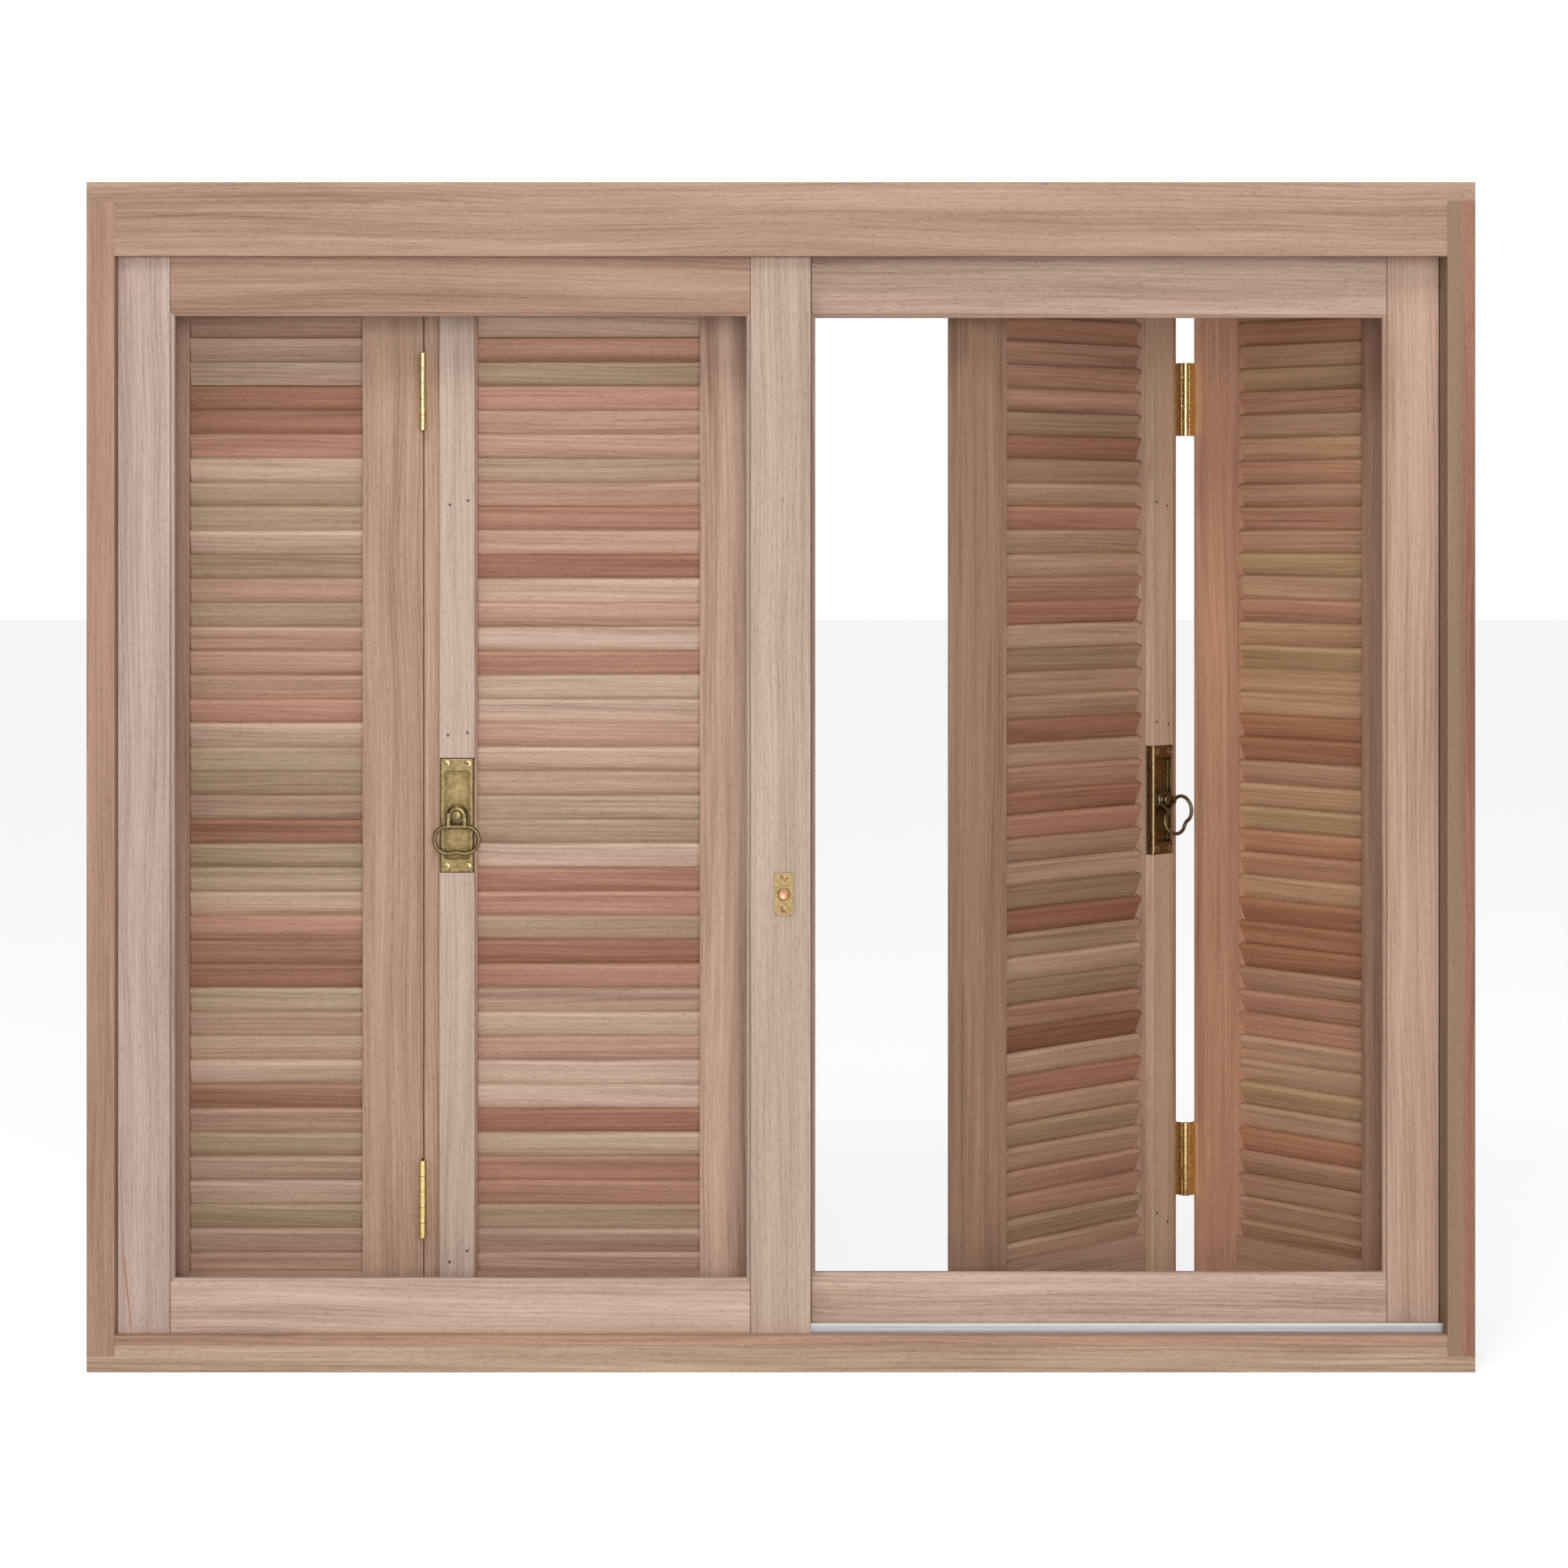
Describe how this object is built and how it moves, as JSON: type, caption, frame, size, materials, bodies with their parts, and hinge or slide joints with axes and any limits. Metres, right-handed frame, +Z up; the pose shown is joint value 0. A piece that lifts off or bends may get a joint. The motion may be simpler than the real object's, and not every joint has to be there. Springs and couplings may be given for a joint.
{
  "type": "louvred wooden window",
  "caption": "Wooden window with hanging sliding sashes in front of folding louvred shutter leaves, each pair bolted by a ring handle.",
  "frame": {"origin": "middle of the sill's underside", "axes": "+X to the right seen from indoors, +Y outdoors, +Z up"},
  "size_m": [1.4, 0.3689, 1.2],
  "materials": {
    "frame_wood": "raw, matt",
    "sash_wood": "raw, matt",
    "leaf_wood": "raw, matt",
    "slat_wood": "raw, matt",
    "track_aluminium": "mill",
    "brass": "polished",
    "antique_bronze": "antique, burnished edges",
    "copper_bronze": "satin",
    "steel": "zinc plated",
    "wheel_plastic": "matt"
  },
  "bodies": {
    "window_frame": {"head": "frame_wood", "sill": "frame_wood", "jamb_left": "frame_wood", "jamb_right": "frame_wood", "centre_post": "frame_wood", "pelmet": "frame_wood", "bottom_bead": "frame_wood", "rod_keepers": "steel", "top_tracks": "track_aluminium", "bottom_guides": "track_aluminium", "jamb_hinge_left": "brass", "jamb_pins_left": "brass", "jamb_hinge_right": "brass", "jamb_pins_right": "brass"},
    "left_sash": {"left_sash_stiles": "sash_wood", "left_sash_rails": "sash_wood", "left_sash_hangers": "steel", "latch_plate": "antique_bronze", "latch_screws": "antique_bronze"},
    "left_sash_wheel_outer": {"left_wheel_outer": "wheel_plastic"},
    "left_sash_wheel_inner": {"left_wheel_inner": "wheel_plastic"},
    "latch_press_button": {"latch_button": "copper_bronze"},
    "right_sash": {"right_sash_stiles": "sash_wood", "right_sash_rails": "sash_wood", "right_sash_hangers": "steel"},
    "right_sash_wheel_outer": {"right_wheel_outer": "wheel_plastic"},
    "right_sash_wheel_inner": {"right_wheel_inner": "wheel_plastic"},
    "leaf_1": {"leaf_1_stiles": "leaf_wood", "leaf_1_rails": "leaf_wood", "leaf_1_slats": "slat_wood", "leaf_1_edge_hinge": "brass", "leaf_1_fold_hinge": "brass", "leaf_1_fold_pins": "brass"},
    "leaf_2": {"leaf_2_stiles": "leaf_wood", "leaf_2_rails": "leaf_wood", "leaf_2_slats": "slat_wood", "leaf_2_fold_hinge": "brass", "leaf_2_battens": "leaf_wood", "leaf_2_handle": "antique_bronze"},
    "handle_2": {"leaf_2_hub": "antique_bronze"},
    "ring_2": {"leaf_2_ring": "antique_bronze"},
    "rod_2_upper": {"leaf_2_rod_upper": "steel"},
    "rod_2_lower": {"leaf_2_rod_lower": "steel"},
    "leaf_4": {"leaf_4_stiles": "leaf_wood", "leaf_4_rails": "leaf_wood", "leaf_4_slats": "slat_wood", "leaf_4_edge_hinge": "brass", "leaf_4_fold_hinge": "brass", "leaf_4_fold_pins": "brass"},
    "leaf_3": {"leaf_3_stiles": "leaf_wood", "leaf_3_rails": "leaf_wood", "leaf_3_slats": "slat_wood", "leaf_3_fold_hinge": "brass", "leaf_3_battens": "leaf_wood", "leaf_3_handle": "antique_bronze"},
    "handle_3": {"leaf_3_hub": "antique_bronze"},
    "ring_3": {"leaf_3_ring": "antique_bronze"},
    "rod_3_upper": {"leaf_3_rod_upper": "steel"},
    "rod_3_lower": {"leaf_3_rod_lower": "steel"}
  },
  "joints": [
    {"name": "left_sash_slide", "type": "slide", "parent": "window_frame", "child": "left_sash", "axis": [1, 0, 0], "range_m": [0, 0.641]},
    {"name": "right_sash_slide", "type": "slide", "parent": "window_frame", "child": "right_sash", "axis": [-1, 0, 0], "range_m": [0, 0.641]},
    {"name": "left_wheel_outer_roll", "type": "hinge", "parent": "left_sash", "child": "left_sash_wheel_outer", "pos_m": [-0.561, -0.0485, 1.1537], "axis": [0, 1, 0], "continuous": true},
    {"name": "left_wheel_inner_roll", "type": "hinge", "parent": "left_sash", "child": "left_sash_wheel_inner", "pos_m": [-0.08, -0.0485, 1.1537], "axis": [0, 1, 0], "continuous": true},
    {"name": "right_wheel_outer_roll", "type": "hinge", "parent": "right_sash", "child": "right_sash_wheel_outer", "pos_m": [0.561, -0.0175, 1.1537], "axis": [0, 1, 0], "continuous": true},
    {"name": "right_wheel_inner_roll", "type": "hinge", "parent": "right_sash", "child": "right_sash_wheel_inner", "pos_m": [0.08, -0.0175, 1.1537], "axis": [0, 1, 0], "continuous": true},
    {"name": "latch_press", "type": "slide", "parent": "left_sash", "child": "latch_press_button", "axis": [0, 1, 0], "range_m": [0, 0.003]},
    {"name": "leaf_1_swing", "type": "hinge", "parent": "window_frame", "child": "leaf_1", "pos_m": [-0.671, 0.061, 0], "axis": [0, 0, 1], "range_deg": [0, 85]},
    {"name": "leaf_2_fold", "type": "hinge", "parent": "leaf_1", "child": "leaf_2", "pos_m": [-0.3695, 0.017, 0], "axis": [0, 0, -1], "range_deg": [0, 163.2]},
    {"name": "handle_2_turn", "type": "hinge", "parent": "leaf_2", "child": "handle_2", "pos_m": [-0.3345, 0.03, 0.5548], "axis": [0, -1, 0], "range_deg": [-90, 0]},
    {"name": "ring_2_swing", "type": "hinge", "parent": "handle_2", "child": "ring_2", "pos_m": [-0.3345, 0.017, 0.5433], "axis": [-1, 0, 0], "range_deg": [0, 30]},
    {"name": "rod_2_upper_slide", "type": "slide", "parent": "leaf_2", "child": "rod_2_upper", "axis": [0, 0, 1], "range_m": [0, 0.018]},
    {"name": "rod_2_lower_slide", "type": "slide", "parent": "leaf_2", "child": "rod_2_lower", "axis": [0, 0, -1], "range_m": [0, 0.018]},
    {"name": "leaf_4_swing", "type": "hinge", "parent": "window_frame", "child": "leaf_4", "pos_m": [0.671, 0.061, 0], "axis": [0, 0, -1], "range_deg": [-50, 35]},
    {"name": "leaf_3_fold", "type": "hinge", "parent": "leaf_4", "child": "leaf_3", "pos_m": [0.44349, 0.26368, 0], "axis": [0, 0, 1], "range_deg": [-96, 67.2]},
    {"name": "handle_3_turn", "type": "hinge", "parent": "leaf_3", "child": "handle_3", "pos_m": [0.40983, 0.24753, 0.5548], "axis": [-0.7193, 0.6947, 0], "range_deg": [-45, 45]},
    {"name": "ring_3_swing", "type": "hinge", "parent": "handle_3", "child": "ring_3", "pos_m": [0.42483, 0.24435, 0.54667], "axis": [-0.4912, -0.5086, -0.7071], "range_deg": [-15, 15]},
    {"name": "rod_3_upper_slide", "type": "slide", "parent": "leaf_3", "child": "rod_3_upper", "axis": [0, 0, 1], "range_m": [-0.009, 0.009]},
    {"name": "rod_3_lower_slide", "type": "slide", "parent": "leaf_3", "child": "rod_3_lower", "axis": [0, 0, -1], "range_m": [-0.009, 0.009]}
  ],
  "couplings": [
    {"joint": "left_wheel_outer_roll", "follows": "left_sash_slide", "rad_per_m": 111.11},
    {"joint": "left_wheel_inner_roll", "follows": "left_sash_slide", "rad_per_m": 111.11},
    {"joint": "right_wheel_outer_roll", "follows": "right_sash_slide", "rad_per_m": -111.11},
    {"joint": "right_wheel_inner_roll", "follows": "right_sash_slide", "rad_per_m": -111.11},
    {"joint": "leaf_2_fold", "follows": "leaf_1_swing", "ratio": 1.92},
    {"joint": "leaf_3_fold", "follows": "leaf_4_swing", "ratio": 1.92},
    {"joint": "rod_2_upper_slide", "follows": "handle_2_turn", "m_per_rad": -0.011459},
    {"joint": "rod_2_lower_slide", "follows": "handle_2_turn", "m_per_rad": -0.011459},
    {"joint": "rod_3_upper_slide", "follows": "handle_3_turn", "m_per_rad": -0.011459},
    {"joint": "rod_3_lower_slide", "follows": "handle_3_turn", "m_per_rad": -0.011459}
  ]
}
